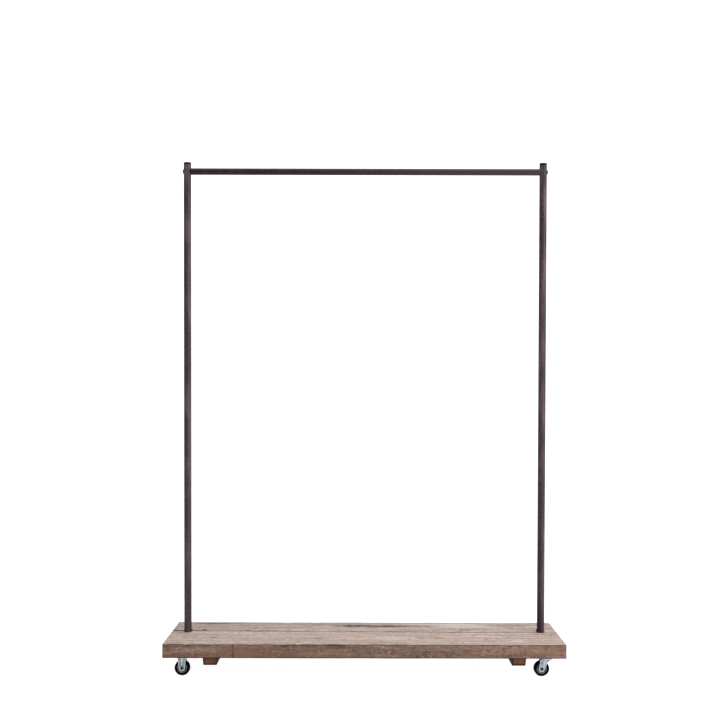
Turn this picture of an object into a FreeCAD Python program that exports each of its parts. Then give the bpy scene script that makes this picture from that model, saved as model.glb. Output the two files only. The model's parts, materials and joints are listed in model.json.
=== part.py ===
import FreeCAD, Part
import math
import os
from types import SimpleNamespace

import Sketcher

# A rolling clothes rack: two thick planks side by side on cross battens, a round tube
# standing up at each end, a round hanging rail between the tubes, and four 50 mm casters.
# The left casters are rigid and the right ones swivel.
#
# Frame: origin on the floor under the middle of the deck, +X to the right, +Y to the
# back, +Z up. Lengths are in millimetres.

DIMENSIONS = [
    ("base_length", 1300, "deck, left to right"),
    ("base_depth", 360, "deck, front to back"),
    ("plank_thick", 47, "thickness of both planks"),
    ("plank_edge", 2, "rounding of the planks' edges"),
    ("seam_left", 32, "joint between the planks, behind the middle, at the left end"),
    ("seam_right", 7, "the same at the right end: the planks are tapered"),
    ("seam_gap", 1, "width of that joint"),
    ("caster_height", 70, "floor to the underside of the planks"),
    ("tube_height", 1568, "deck to the open end of an upright"),
    ("tube_outer", 25, "outside diameter of the uprights"),
    ("tube_wall", 1.5, "wall of the uprights and of the rail"),
    ("tube_spacing", 1188, "middle to middle of the uprights"),
    ("tube_offset", 15, "uprights and rail, behind the middle of the deck"),
    ("tube_hole_gap", 0.2, "clearance round an upright in the deck"),
    ("cap_height", 5, "end cap above the tube"),
    ("cap_dome", 2.2, "height of the cap's rounded shoulder"),
    ("cap_plug", 16, "length of the cap's plug in the tube"),
    ("cap_rib", 0.5, "how far the plug's ribs stand out"),
    ("rail_drop", 25.5, "rail's middle below the top of the tubes"),
    ("rail_outer", 22, "outside diameter of the hanging rail"),
    ("rail_cope_gap", 0.1, "clearance of the rail's notched ends round the uprights"),
    ("insert_length", 40, "threaded plug in each end of the rail"),
    ("rail_bolt_shank", 8, "bolt through an upright into the rail"),
    ("rail_bolt_flats", 13, "across the flats of its head"),
    ("rail_bolt_head", 2.8, "height of its low head"),
    ("rail_bolt_reach", 52, "length of its shank"),
    ("foot_plate_side", 80, "square plate under the deck below each upright"),
    ("foot_plate_thick", 4, "its thickness"),
    ("foot_screw_pitch", 60, "its screw holes, middle to middle"),
    ("spigot_length", 62, "solid plug on the plate, inside the upright"),
    ("lock_height", 6, "lock screw's middle above the deck"),
    ("lock_shank", 4, "lock screw's shank"),
    ("lock_head", 7, "lock screw's head, across"),
    ("lock_head_height", 3.2, "lock screw's head, height"),
    ("batten_spacing", 996, "middle to middle of the battens"),
    ("batten_top", 51, "width of a batten against the planks"),
    ("batten_bottom", 44, "width of a batten at its lower face"),
    ("batten_height", 27, "depth of a batten"),
    ("batten_length", 320, "length of a batten, front to back"),
    ("batten_screw_pitch", 90, "spacing of the screws along a batten"),
    ("batten_sink", 8, "depth that those screws are sunk"),
    ("screw_shank", 4, "wood screws' shank"),
    ("screw_head", 8, "wood screws' head, across"),
    ("screw_head_height", 2.4, "wood screws' head, height"),
    ("screw_bite", 26, "length of a wood screw in the planks"),
    ("pilot_gap", 0.1, "clearance round a screw in its hole"),
    ("drive_width", 1.1, "slots of the screws' cross recess, width"),
    ("drive_length", 4.6, "slots of the cross recess, length"),
    ("drive_depth", 1.4, "depth of the cross recess"),
    ("caster_spacing_x", 1188, "casters, middle to middle, left to right"),
    ("caster_spacing_y", 252, "casters, front to back, centred under the uprights"),
    ("plate_side", 52, "square top plate of a caster"),
    ("plate_thick", 2.5, "its thickness"),
    ("plate_pitch", 40, "its screw holes, middle to middle"),
    ("wheel_diameter", 50, "tyre, outside diameter"),
    ("wheel_width", 20, "tyre, width"),
    ("core_diameter", 33, "seat of the tyre on the wheel core"),
    ("hub_diameter", 14, "hub of the wheel core"),
    ("hub_width", 22, "length of that hub"),
    ("leg_gap", 22.6, "between the legs of a fork or bracket"),
    ("leg_thick", 2.5, "sheet of the legs"),
    ("leg_rim", 1.2, "how far the legs' edges are turned out"),
    ("rim_width", 2.2, "width of that turned edge"),
    ("leg_rib", 1.0, "height of the rib pressed into a leg"),
    ("leg_rib_width", 4, "width of that rib"),
    ("leg_round", 19, "width of a leg round the axle"),
    ("rigid_leg_top", 39, "width of a rigid bracket's leg at its plate"),
    ("rigid_waist", 24.6, "width of that leg at its waist"),
    ("rigid_waist_height", 49, "that waist, above the floor"),
    ("fork_leg_back", 20, "swivel fork's leg at its crown, behind the swivel axis"),
    ("fork_leg_front", 15.5, "the same, in front of the swivel axis"),
    ("fork_waist_front", 2, "front edge of the fork's leg at its waist"),
    ("fork_waist_height", 47, "that waist, above the floor"),
    ("trail", 16, "axle behind the swivel axis"),
    ("race_diameter", 40, "ball race and crown of the swivel head"),
    ("race_depth", 7.5, "upper race below the top plate"),
    ("race_gap", 0.8, "between the upper race and the crown"),
    ("crown_thick", 3, "crown of the fork"),
    ("ball_circle", 30, "circle of the balls' middles"),
    ("ball_diameter", 4, "bearing balls"),
    ("kingpin_shank", 8, "swivel pin"),
    ("kingpin_head", 14, "its lower head, across"),
    ("kingpin_head_height", 2.5, "its lower head, height"),
    ("axle_sleeve_outer", 8.6, "sleeve that the wheel turns on"),
    ("axle_outer", 6.5, "hollow rivet through the sleeve"),
    ("axle_bore", 4.2, "hole along that rivet"),
    ("axle_head", 9.5, "rivet's rolled heads, across"),
    ("axle_head_height", 1.4, "rivet's rolled heads, height"),
    ("running_gap", 0.08, "radial clearance of a part that turns on a pin"),
    ("fit_gap", 0.05, "radial clearance of a part that is pushed in"),
]
BALL_COUNT = 16
BATTEN_STEPS = (-1.5, -0.5, 0.5, 1.5)
HEX_CORNER = 1 / math.sqrt(3)

doc = FreeCAD.newDocument("RollingClothesRack")
sheet = doc.addObject("Spreadsheet::Sheet", "dims")


class Size:
    """A length: its number now, and the formula on the sheet's cells that gives it."""

    def __init__(self, value, formula):
        self.value = value
        self.formula = formula

    def __add__(self, other):
        other = as_size(other)
        return Size(self.value + other.value, f"({self.formula} + {other.formula})")

    def __sub__(self, other):
        other = as_size(other)
        return Size(self.value - other.value, f"({self.formula} - {other.formula})")

    def __mul__(self, factor):
        return Size(self.value * factor, f"({self.formula} * {factor:.6f})")

    def __truediv__(self, divisor):
        return self * (1 / divisor)

    def __neg__(self):
        return self * -1

    __rmul__ = __mul__


def as_size(length):
    return length if isinstance(length, Size) else Size(float(length), str(float(length)))


def fill_sheet():
    """Write the driving dimensions and return them as Sizes by name."""
    sizes = {}
    for row, (name, value, note) in enumerate(DIMENSIONS, start=1):
        sheet.set(f"A{row}", name)
        sheet.set(f"B{row}", str(value))
        sheet.set(f"C{row}", note)
        sheet.setAlias(f"B{row}", name)
        sizes[name] = Size(value, f"dims.{name}")
    doc.recompute()
    return SimpleNamespace(**sizes)


d = fill_sheet()
subparts = []


# ---- Document helpers ----

def bind(item, prop, length):
    item.setExpression(prop, as_size(length).formula)


def place(item, x=0, y=0, z=0):
    for axis, length in zip("xyz", (x, y, z)):
        bind(item, f"Placement.Base.{axis}", length)


def new_body(label):
    """A sub-part: its label names its file."""
    body = doc.addObject("PartDesign::Body", label)
    body.Label = label
    body.AllowCompound = True
    subparts.append(body)
    return body


def origin_feature(body, role):
    return next(item for item in body.Origin.OriginFeatures if item.Role == role)


def new_sketch(body, plane, offset=0):
    """A sketch on one of the body's origin planes, moved along the plane's normal."""
    sketch = body.newObject("Sketcher::SketchObject", body.Name + "_sketch")
    sketch.AttachmentSupport = [(origin_feature(body, plane), "")]
    sketch.MapMode = "FlatFace"
    bind(sketch, "AttachmentOffset.Base.z", offset)
    return sketch


def constrain(sketch, kind, where, length):
    index = sketch.addConstraint(Sketcher.Constraint(kind, *where, length.value))
    sketch.setExpression(f"Constraints[{index}]", length.formula)


def locate(sketch, geometry, point, x, y):
    """Fix a point at signed distances from the sketch's origin."""
    for kind, length in (("DistanceX", as_size(x)), ("DistanceY", as_size(y))):
        if length.value < 0:
            constrain(sketch, kind, (geometry, point, -1, 1), -length)
        else:
            constrain(sketch, kind, (-1, 1, geometry, point), length)


def vector(corner):
    return FreeCAD.Vector(as_size(corner[0]).value, as_size(corner[1]).value, 0)


def draw_polygon(sketch, corners):
    first = sketch.GeometryCount
    count = len(corners)
    for i in range(count):
        start, end = vector(corners[i]), vector(corners[(i + 1) % count])
        sketch.addGeometry(Part.LineSegment(start, end))
    for i in range(count):
        following = first + (i + 1) % count
        sketch.addConstraint(Sketcher.Constraint("Coincident", first + i, 2, following, 1))
    for i, corner in enumerate(corners):
        locate(sketch, first + i, 1, *corner)


def draw_rectangle(sketch, low, high):
    draw_polygon(sketch, [low, (high[0], low[1]), high, (low[0], high[1])])


def draw_circle(sketch, centre, diameter):
    circle = Part.Circle(vector(centre), FreeCAD.Vector(0, 0, 1), diameter.value / 2)
    index = sketch.addGeometry(circle)
    constrain(sketch, "Diameter", (index,), diameter)
    locate(sketch, index, 3, *centre)


def draw_leg(sketch, left_side, right_side, axle, radius):
    """A leg's outline: two sides, each a few points from the top down, and an arc round the
    axle that the last line of each side meets at a tangent."""
    centre = vector(axle)
    left_touch = tangent_point(vector(left_side[-1]), centre, radius.value, -1)
    right_touch = tangent_point(vector(right_side[-1]), centre, radius.value, 1)
    start_angle = math.atan2(left_touch.y - centre.y, left_touch.x - centre.x)
    end_angle = math.atan2(right_touch.y - centre.y, right_touch.x - centre.x)
    circle = Part.Circle(centre, FreeCAD.Vector(0, 0, 1), radius.value)
    corners = list(reversed(right_side)) + left_side
    path = [right_touch] + [vector(corner) for corner in corners] + [left_touch]
    lines = [sketch.addGeometry(Part.LineSegment(a, b)) for a, b in zip(path, path[1:])]
    arc = sketch.addGeometry(Part.ArcOfCircle(circle, start_angle, end_angle))
    for line, following, corner in zip(lines, lines[1:], corners):
        sketch.addConstraint(Sketcher.Constraint("Coincident", line, 2, following, 1))
        locate(sketch, line, 2, *corner)
    sketch.addConstraint(Sketcher.Constraint("Tangent", lines[-1], 2, arc, 1))
    sketch.addConstraint(Sketcher.Constraint("Tangent", arc, 2, lines[0], 1))
    locate(sketch, arc, 3, *axle)
    constrain(sketch, "Radius", (arc,), radius)


def tangent_point(outside, centre, radius, side):
    """Where the line from a point outside touches a circle, on the left or right of it."""
    away = outside - centre
    turn = math.acos(radius / away.Length)
    angle = math.atan2(away.y, away.x) - side * turn
    return centre + FreeCAD.Vector(math.cos(angle), math.sin(angle), 0) * radius


def add_feature(body, kind, sketch, both_ways=False, backwards=False):
    feature = body.newObject("PartDesign::" + kind, body.Name + "_" + kind.lower())
    feature.Profile = sketch
    feature.SideType = "Symmetric" if both_ways else "One side"
    feature.Reversed = backwards
    return feature


def pad(body, sketch, length, both_ways=False, backwards=False):
    feature = add_feature(body, "Pad", sketch, both_ways, backwards)
    bind(feature, "Length", length)
    return feature


def pocket(body, sketch, length=None, both_ways=False, backwards=False):
    """Cut a sketch out of the body: right through it where no length is given."""
    feature = add_feature(body, "Pocket", sketch, both_ways, backwards)
    if length is None:
        feature.Type = "ThroughAll"
    else:
        bind(feature, "Length", length)
    return feature


def turn(body, outline, axis="Z"):
    """Revolve (radius, distance along) points about the body's X, Y or Z axis."""
    plane = "XY_Plane" if axis == "Y" else "XZ_Plane"
    sketch = new_sketch(body, plane)
    if axis == "X":
        outline = [(along, radius) for radius, along in outline]
    draw_polygon(sketch, outline)
    feature = body.newObject("PartDesign::Revolution", body.Name + "_turn")
    feature.Profile = sketch
    feature.ReferenceAxis = (sketch, ["H_Axis" if axis == "X" else "V_Axis"])
    feature.Angle = 360
    return feature


def repeat_round(body, features, count):
    """Repeat features round the body's Z axis."""
    pattern = body.newObject("PartDesign::PolarPattern", body.Name + "_round")
    pattern.Originals = features
    pattern.Axis = (origin_feature(body, "Z_Axis"), [""])
    pattern.Angle = 360
    pattern.Occurrences = count
    body.Tip = pattern


def mirror_front_to_back(body, feature):
    mirrored = body.newObject("PartDesign::Mirrored", body.Name + "_mirror")
    mirrored.Originals = [feature]
    mirrored.MirrorPlane = (origin_feature(body, "XZ_Plane"), [""])
    body.Tip = mirrored


# ---- Places that several sub-parts share ----

SIDES = (("left", -1), ("right", 1))
deck_top = d.caster_height + d.plank_thick
tube_top = deck_top + d.tube_height
rail_z = tube_top - d.rail_drop
tube_inner = d.tube_outer - d.tube_wall * 2
rail_inner = d.rail_outer - d.tube_wall * 2
axle_z = d.wheel_diameter / 2
plate_under = d.caster_height - d.plate_thick
race_under = plate_under - d.race_depth
crown_top = race_under - d.race_gap
crown_under = crown_top - d.crown_thick
leg_outside = d.leg_gap + d.leg_thick * 2
pilot = d.screw_shank + d.pilot_gap * 2


def corners():
    """The four casters: name, X and Y of the middle, and whether it swivels."""
    for end, end_sign in (("front", -1), ("rear", 1)):
        y = d.tube_offset + d.caster_spacing_y / 2 * end_sign
        for side, sign in SIDES:
            yield f"{end}_{side}", d.caster_spacing_x / 2 * sign, y, side == "right"


# ---- Wooden deck ----

def square(x, y, pitch):
    """The four corners of a square pattern of holes."""
    half = pitch / 2
    return [(as_size(x) + half * i, as_size(y) + half * j) for i in (-1, 1) for j in (-1, 1)]


def screw_places():
    """Where every wood screw bites into the deck."""
    places = []
    for _, side in SIDES:
        for step in BATTEN_STEPS:
            places.append((d.batten_spacing / 2 * side, d.batten_screw_pitch * step))
        places += square(d.tube_spacing / 2 * side, d.tube_offset, d.foot_screw_pitch)
    for _, x, y, _ in corners():
        places += square(x, y, d.plate_pitch)
    return places


def make_plank(label, outline, front_of_seam):
    body = new_body(label)
    shape = new_sketch(body, "XY_Plane")
    draw_polygon(shape, outline)
    slab = pad(body, shape, d.plank_thick)
    doc.recompute()
    rounding = body.newObject("PartDesign::Fillet", label + "_edges")
    edge_names = [f"Edge{i + 1}" for i in range(len(slab.Shape.Edges))]
    rounding.Base = (slab, edge_names)
    bind(rounding, "Radius", d.plank_edge)
    tube_holes = new_sketch(body, "XY_Plane")
    for _, side in SIDES:
        centre = (d.tube_spacing / 2 * side, d.tube_offset)
        draw_circle(tube_holes, centre, d.tube_outer + d.tube_hole_gap * 2)
    pocket(body, tube_holes, backwards=True)
    pilots = new_sketch(body, "XY_Plane")
    for x, y in screw_places():
        if (y.value < d.seam_left.value) == front_of_seam:
            draw_circle(pilots, (x, y), pilot)
    pocket(body, pilots, d.screw_bite, backwards=True)
    place(body, z=d.caster_height)


def make_planks():
    """The deck's two planks, which meet along a slanting joint."""
    end = d.base_length / 2
    front, back = -d.base_depth / 2, d.base_depth / 2
    half_gap = d.seam_gap / 2
    front_outline = [(-end, front), (end, front)]
    front_outline += [(end, d.seam_right - half_gap), (-end, d.seam_left - half_gap)]
    back_outline = [(-end, d.seam_left + half_gap), (end, d.seam_right + half_gap)]
    back_outline += [(end, back), (-end, back)]
    make_plank("front_plank", front_outline, True)
    make_plank("back_plank", back_outline, False)


def make_batten(label, side):
    body = new_body(label)
    section = new_sketch(body, "XZ_Plane")
    top, bottom = d.batten_top / 2, d.batten_bottom / 2
    under = -d.batten_height
    draw_polygon(section, [(-bottom, under), (bottom, under), (top, 0), (-top, 0)])
    pad(body, section, d.batten_length, both_ways=True)
    for diameter, depth in ((pilot, None), (d.screw_head * 1.25, d.batten_sink)):
        holes = new_sketch(body, "XY_Plane", under)
        for step in BATTEN_STEPS:
            draw_circle(holes, (0, d.batten_screw_pitch * step), diameter)
        pocket(body, holes, depth, backwards=True)
    place(body, d.batten_spacing / 2 * side, 0, d.caster_height)


# ---- Wood screws ----

def draw_screw(body, x, y, shank_length):
    """A pan-head screw pointing up: its head's seat is at the body's own height zero."""
    shank = new_sketch(body, "XY_Plane")
    draw_circle(shank, (x, y), d.screw_shank)
    shank_pad = pad(body, shank, shank_length)
    head = new_sketch(body, "XY_Plane")
    draw_circle(head, (x, y), d.screw_head)
    head_pad = pad(body, head, d.screw_head_height, backwards=True)
    cross = new_sketch(body, "XY_Plane", -d.screw_head_height)
    half_width, half_length = d.drive_width / 2, d.drive_length / 2
    draw_polygon(cross, cross_outline(x, y, half_width, half_length))
    recess = pocket(body, cross, d.drive_depth, backwards=True)
    return [shank_pad, head_pad, recess]


def cross_outline(x, y, narrow, long):
    """The twelve corners of a cross round a point."""
    quarter = [(long, -narrow), (long, narrow), (narrow, narrow)]
    outline = []
    for _ in range(4):
        outline += [(as_size(x) + dx, as_size(y) + dy) for dx, dy in quarter]
        quarter = [(-dy, dx) for dx, dy in quarter]
    return outline


def make_square_of_screws(label, pitch, seat_z, shank_length, x, y):
    body = new_body(label)
    features = draw_screw(body, pitch / 2, pitch / 2, shank_length)
    repeat_round(body, features, 4)
    place(body, x, y, seat_z)


def make_row_of_screws(label, side):
    """The batten's screws, sunk into its lower face."""
    body = new_body(label)
    shank_length = d.batten_height - d.batten_sink + d.screw_bite - 1
    features = draw_screw(body, 0, d.batten_screw_pitch * BATTEN_STEPS[0], shank_length)
    row = body.newObject("PartDesign::LinearPattern", label + "_row")
    row.Originals = features
    row.Direction = (origin_feature(body, "Y_Axis"), [""])
    row.Mode = "Spacing"
    bind(row, "Offset", d.batten_screw_pitch)
    row.Occurrences = len(BATTEN_STEPS)
    body.Tip = row
    seat = d.caster_height - d.batten_height + d.batten_sink
    place(body, d.batten_spacing / 2 * side, 0, seat)


# ---- Uprights and their feet ----

def make_upright(label, side):
    body = new_body(label)
    ring = new_sketch(body, "XY_Plane")
    draw_circle(ring, (0, 0), d.tube_outer)
    draw_circle(ring, (0, 0), tube_inner)
    pad(body, ring, d.tube_height + d.plank_thick)
    bolt_hole = new_sketch(body, "YZ_Plane")
    bolt_height = rail_z - d.caster_height
    draw_circle(bolt_hole, (0, bolt_height), d.rail_bolt_shank + d.fit_gap * 4)
    pocket(body, bolt_hole, both_ways=True)
    lock_hole = new_sketch(body, "YZ_Plane")
    lock_height = d.plank_thick + d.lock_height
    draw_circle(lock_hole, (0, lock_height), d.lock_shank + d.fit_gap * 4)
    pocket(body, lock_hole, backwards=side < 0)
    place(body, d.tube_spacing / 2 * side, d.tube_offset, d.caster_height)


def make_top_cap(label, side):
    """A push-in cap: domed top, flat seat on the tube and a plug with three ribs."""
    body = new_body(label)
    rim = d.tube_outer / 2
    plug = tube_inner / 2 - d.fit_gap - d.cap_rib
    rib = tube_inner / 2 - d.fit_gap
    shoulder = d.cap_height - d.cap_dome
    outline = [(0, -d.cap_plug), (plug, -d.cap_plug)]
    for step in (0.85, 0.55, 0.25):
        low = d.cap_plug * -step
        outline += [(plug, low), (rib, low + 0.8), (rib, low + 1.6), (plug, low + 2.4)]
    outline += [(plug, 0), (rim, 0), (rim, shoulder)]
    outline += [(rim - d.cap_dome * 0.35, d.cap_height - d.cap_dome * 0.4)]
    outline += [(rim - d.cap_dome * 1.1, d.cap_height - d.cap_dome * 0.08)]
    outline += [(rim - d.cap_dome * 2.2, d.cap_height), (0, d.cap_height)]
    turn(body, outline)
    place(body, d.tube_spacing / 2 * side, d.tube_offset, tube_top)


def make_foot_plate(label, side):
    body = new_body(label)
    outline = new_sketch(body, "XY_Plane")
    half = d.foot_plate_side / 2
    draw_rectangle(outline, (-half, -half), (half, half))
    pad(body, outline, d.foot_plate_thick, backwards=True)
    holes = new_sketch(body, "XY_Plane")
    for centre in square(0, 0, d.foot_screw_pitch):
        draw_circle(holes, centre, pilot)
    pocket(body, holes)
    place(body, d.tube_spacing / 2 * side, d.tube_offset, d.caster_height)


def make_foot_spigot(label, side):
    """The plug that stands on the foot plate inside the upright, tapped for the lock screw."""
    body = new_body(label)
    radius = tube_inner / 2 - d.fit_gap
    nose = radius - 1.5
    length = d.spigot_length
    turn(body, [(0, 0), (radius, 0), (radius, length - 1.5), (nose, length), (0, length)])
    hole = new_sketch(body, "YZ_Plane")
    draw_circle(hole, (0, d.plank_thick + d.lock_height), d.lock_shank + d.fit_gap * 2)
    pocket(body, hole, backwards=side < 0)
    place(body, d.tube_spacing / 2 * side, d.tube_offset, d.caster_height)


def make_lock_screw(label, side):
    """A small domed screw on the inner side of the upright, just above the deck."""
    body = new_body(label)
    seat = -d.tube_outer / 2 * side
    inward = -side
    head, shank = d.lock_head / 2, d.lock_shank / 2
    tip = seat * 0.2
    domed = seat + d.lock_head_height * inward
    brim = seat + d.lock_head_height * 0.45 * inward
    outline = [(0, tip), (shank, tip), (shank, seat), (head, seat), (head, brim)]
    outline += [(head * 0.72, seat + d.lock_head_height * 0.88 * inward), (head * 0.4, domed)]
    outline += [(0, domed)]
    turn(body, outline, "X")
    place(body, d.tube_spacing / 2 * side, d.tube_offset, deck_top + d.lock_height)


# ---- Hanging rail ----

def make_rail():
    """A tube whose ends are notched to sit round the uprights."""
    body = new_body("top_rail")
    ring = new_sketch(body, "YZ_Plane")
    draw_circle(ring, (0, 0), d.rail_outer)
    draw_circle(ring, (0, 0), rail_inner)
    pad(body, ring, d.tube_spacing, both_ways=True)
    notch = new_sketch(body, "XY_Plane")
    for _, side in SIDES:
        centre = (d.tube_spacing / 2 * side, 0)
        draw_circle(notch, centre, d.tube_outer + d.rail_cope_gap * 2)
    pocket(body, notch, both_ways=True)
    place(body, 0, d.tube_offset, rail_z)


def make_rail_insert(label, side):
    """The threaded plug fixed in the rail's end."""
    body = new_body(label)
    near = d.tube_spacing / 2 - d.tube_outer / 2 - 0.3
    far = near - d.insert_length
    outer = rail_inner / 2 - d.fit_gap
    bore = d.rail_bolt_shank / 2 + d.fit_gap
    outline = [(bore, near * side), (outer, near * side), (outer, far * side), (bore, far * side)]
    turn(body, outline, "X")
    place(body, 0, d.tube_offset, rail_z)


def make_rail_bolt(label, side):
    """A hexagon-head bolt through the upright: its head is on the outer side."""
    body = new_body(label)
    seat = d.tube_outer / 2 * side
    shank = new_sketch(body, "YZ_Plane", seat)
    draw_circle(shank, (0, 0), d.rail_bolt_shank)
    pad(body, shank, d.rail_bolt_reach, backwards=side > 0)
    head = new_sketch(body, "YZ_Plane", seat)
    corner = d.rail_bolt_flats * HEX_CORNER
    angles = [math.radians(60 * i) for i in range(6)]
    draw_polygon(head, [(corner * math.cos(a), corner * math.sin(a)) for a in angles])
    pad(body, head, d.rail_bolt_head, backwards=side < 0)
    chamfer = new_sketch(body, "XZ_Plane")
    face = seat + d.rail_bolt_head * side
    slope = d.rail_bolt_head * 0.35 * side
    flat = d.rail_bolt_flats / 2
    outline = [(face - slope, corner + 0.5), (face, flat * 0.96), (face + slope, flat * 0.96)]
    outline += [(face + slope, corner + 0.5)]
    draw_polygon(chamfer, outline)
    groove = body.newObject("PartDesign::Groove", label + "_chamfer")
    groove.Profile = chamfer
    groove.ReferenceAxis = (chamfer, ["H_Axis"])
    groove.Angle = 360
    place(body, d.tube_spacing / 2 * side, d.tube_offset, rail_z)


# ---- Casters ----

def add_legs(body, left_side, right_side, axle_x, slot_top):
    """Two legs with turned-out edges and a pressed rib, from a top edge down to the axle."""
    axle = (axle_x, axle_z)
    edge_width = leg_outside + d.leg_rim * 2
    block = new_sketch(body, "XZ_Plane")
    draw_leg(block, left_side, right_side, axle, d.leg_round / 2)
    pad(body, block, edge_width, both_ways=True)
    panel = new_sketch(body, "XZ_Plane", edge_width / 2)
    inner_left = [(x + d.rim_width, z) for x, z in left_side]
    inner_right = [(x - d.rim_width, z) for x, z in right_side]
    draw_leg(panel, inner_left, inner_right, axle, d.leg_round / 2 - d.rim_width)
    pressed = pocket(body, panel, d.leg_rim)
    mirror_front_to_back(body, pressed)
    rib = new_sketch(body, "XZ_Plane")
    draw_polygon(rib, rib_outline(slot_top, axle_x))
    pad(body, rib, leg_outside + d.leg_rib * 2, both_ways=True)
    slot = new_sketch(body, "YZ_Plane")
    draw_rectangle(slot, (-d.leg_gap / 2, 0), (d.leg_gap / 2, slot_top))
    pocket(body, slot, both_ways=True)
    axle_hole = new_sketch(body, "XZ_Plane")
    draw_circle(axle_hole, axle, d.axle_outer + d.fit_gap * 2)
    pocket(body, axle_hole, both_ways=True)


def rib_outline(top, axle_x):
    """A rib from the top of a leg towards the axle, stopping short of it."""
    half = d.leg_rib_width / 2
    low = axle_z + d.axle_head
    low_x = as_size(axle_x) * 0.72
    return [(low_x - half, low), (low_x + half, low), (half, top), (-half, top)]


def add_plate(body):
    outline = new_sketch(body, "XY_Plane", d.caster_height)
    half = d.plate_side / 2
    draw_rectangle(outline, (-half, -half), (half, half))
    pad(body, outline, d.plate_thick, backwards=True)


def drill_plate(body):
    holes = new_sketch(body, "XY_Plane", d.caster_height)
    for centre in square(0, 0, d.plate_pitch):
        draw_circle(holes, centre, pilot)
    pocket(body, holes, d.plate_thick)


def make_rigid_bracket(label):
    body = new_body(label)
    add_plate(body)
    right_side = [(d.rigid_leg_top / 2, plate_under), (d.rigid_waist / 2, d.rigid_waist_height)]
    left_side = [(-x, z) for x, z in right_side]
    add_legs(body, left_side, right_side, 0, plate_under)
    drill_plate(body)
    return body


def race_groove(side):
    """The channel for the balls in one race, as (radius, height) corners from inside out."""
    half_width = d.ball_diameter / 2 + d.fit_gap * 2
    middle = d.ball_circle / 2
    depth = (d.ball_diameter - d.race_gap) / 2 + d.fit_gap * 2
    face = race_under if side > 0 else crown_top
    floor = face + depth * side
    near, far = middle - half_width, middle + half_width
    return [(near, face), (near, floor), (far, floor), (far, face)]


def make_swivel_plate(label):
    body = new_body(label)
    add_plate(body)
    bore = d.kingpin_shank / 2 + d.fit_gap
    outer = d.race_diameter / 2
    waist = outer - d.race_depth * 0.3
    top = d.caster_height
    outline = [(bore, top), (bore, race_under)] + race_groove(1) + [(outer, race_under)]
    outline += [(outer, race_under + 1.5), (waist, plate_under), (waist, top)]
    turn(body, outline)
    hole = new_sketch(body, "XY_Plane", d.caster_height)
    draw_circle(hole, (0, 0), bore * 2)
    pocket(body, hole)
    drill_plate(body)
    return body


def make_fork(label):
    body = new_body(label)
    bore = d.kingpin_shank / 2 + d.running_gap
    outer = d.race_diameter / 2
    outline = [(bore, crown_under), (bore, crown_top)] + race_groove(-1)
    outline += [(outer, crown_top), (outer, crown_under)]
    turn(body, outline)
    left_side = [(-d.fork_leg_back, crown_under)]
    right_side = [(d.fork_leg_front, crown_under), (d.fork_waist_front, d.fork_waist_height)]
    add_legs(body, left_side, right_side, -d.trail, crown_under)
    return body


def make_kingpin(label):
    """The rivet that holds the fork up: flush above the plate, with a head below the crown."""
    body = new_body(label)
    shank = d.kingpin_shank / 2
    head = d.kingpin_head / 2
    seat = crown_under - 0.2
    low = seat - d.kingpin_head_height
    top = d.caster_height
    outline = [(0, low), (head * 0.7, low), (head, low + d.kingpin_head_height * 0.5)]
    outline += [(head, seat), (shank, seat), (shank, top), (0, top)]
    turn(body, outline)
    return body


def make_race_balls(label):
    body = new_body(label)
    arc_sketch = new_sketch(body, "XZ_Plane")
    radius = d.ball_diameter / 2
    middle = d.ball_circle / 2
    height = (race_under + crown_top) / 2
    centre = vector((middle, height))
    circle = Part.Circle(centre, FreeCAD.Vector(0, 0, 1), radius.value)
    half_turn = Part.ArcOfCircle(circle, -math.pi / 2, math.pi / 2)
    arc = arc_sketch.addGeometry(half_turn)
    chord = arc_sketch.addGeometry(Part.LineSegment(half_turn.EndPoint, half_turn.StartPoint))
    arc_sketch.addConstraint(Sketcher.Constraint("Coincident", arc, 2, chord, 1))
    arc_sketch.addConstraint(Sketcher.Constraint("Coincident", chord, 2, arc, 1))
    arc_sketch.addConstraint(Sketcher.Constraint("Vertical", chord))
    arc_sketch.addConstraint(Sketcher.Constraint("PointOnObject", arc, 3, chord))
    constrain(arc_sketch, "Radius", (arc,), radius)
    locate(arc_sketch, arc, 3, middle, height)
    ball = body.newObject("PartDesign::Revolution", label + "_ball")
    ball.Profile = arc_sketch
    ball.ReferenceAxis = (arc_sketch, [f"Edge{chord + 1}"])
    ball.Angle = 360
    repeat_round(body, [ball], BALL_COUNT)
    return body


def make_axle_rivet(label):
    """A hollow rivet across the legs, rolled over at both ends."""
    body = new_body(label)
    bore, outer = d.axle_bore / 2, d.axle_outer / 2
    head = d.axle_head / 2
    seat = leg_outside / 2
    end = seat + d.axle_head_height
    soft = end - d.axle_head_height * 0.45
    half = [(outer, seat), (head, seat), (head, soft), (head * 0.75, end), (bore, end)]
    mirrored = [(radius, -along) for radius, along in reversed(half)]
    turn(body, half + mirrored, "Y")
    return body


def make_axle_sleeve(label):
    body = new_body(label)
    inner = d.axle_outer / 2 + d.fit_gap
    outer = d.axle_sleeve_outer / 2
    half = d.leg_gap / 2
    turn(body, [(inner, -half), (outer, -half), (outer, half), (inner, half)], "Y")
    return body


def make_wheel_core(label):
    """Hub, dished web and rim, the same on both sides."""
    body = new_body(label)
    bore = d.axle_sleeve_outer / 2 + d.running_gap
    hub, seat = d.hub_diameter / 2, d.core_diameter / 2
    hub_end, rim_end = d.hub_width / 2, d.wheel_width / 2 - 1.2
    web = rim_end - 2.6
    lip = seat - 2.2
    half = [(bore, hub_end), (hub - 0.8, hub_end), (hub, hub_end - 0.8), (hub + 0.6, web)]
    half += [(lip - 0.8, web), (lip, rim_end), (seat, rim_end)]
    mirrored = [(radius, -along) for radius, along in reversed(half)]
    turn(body, half + mirrored, "Y")
    return body


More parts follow.
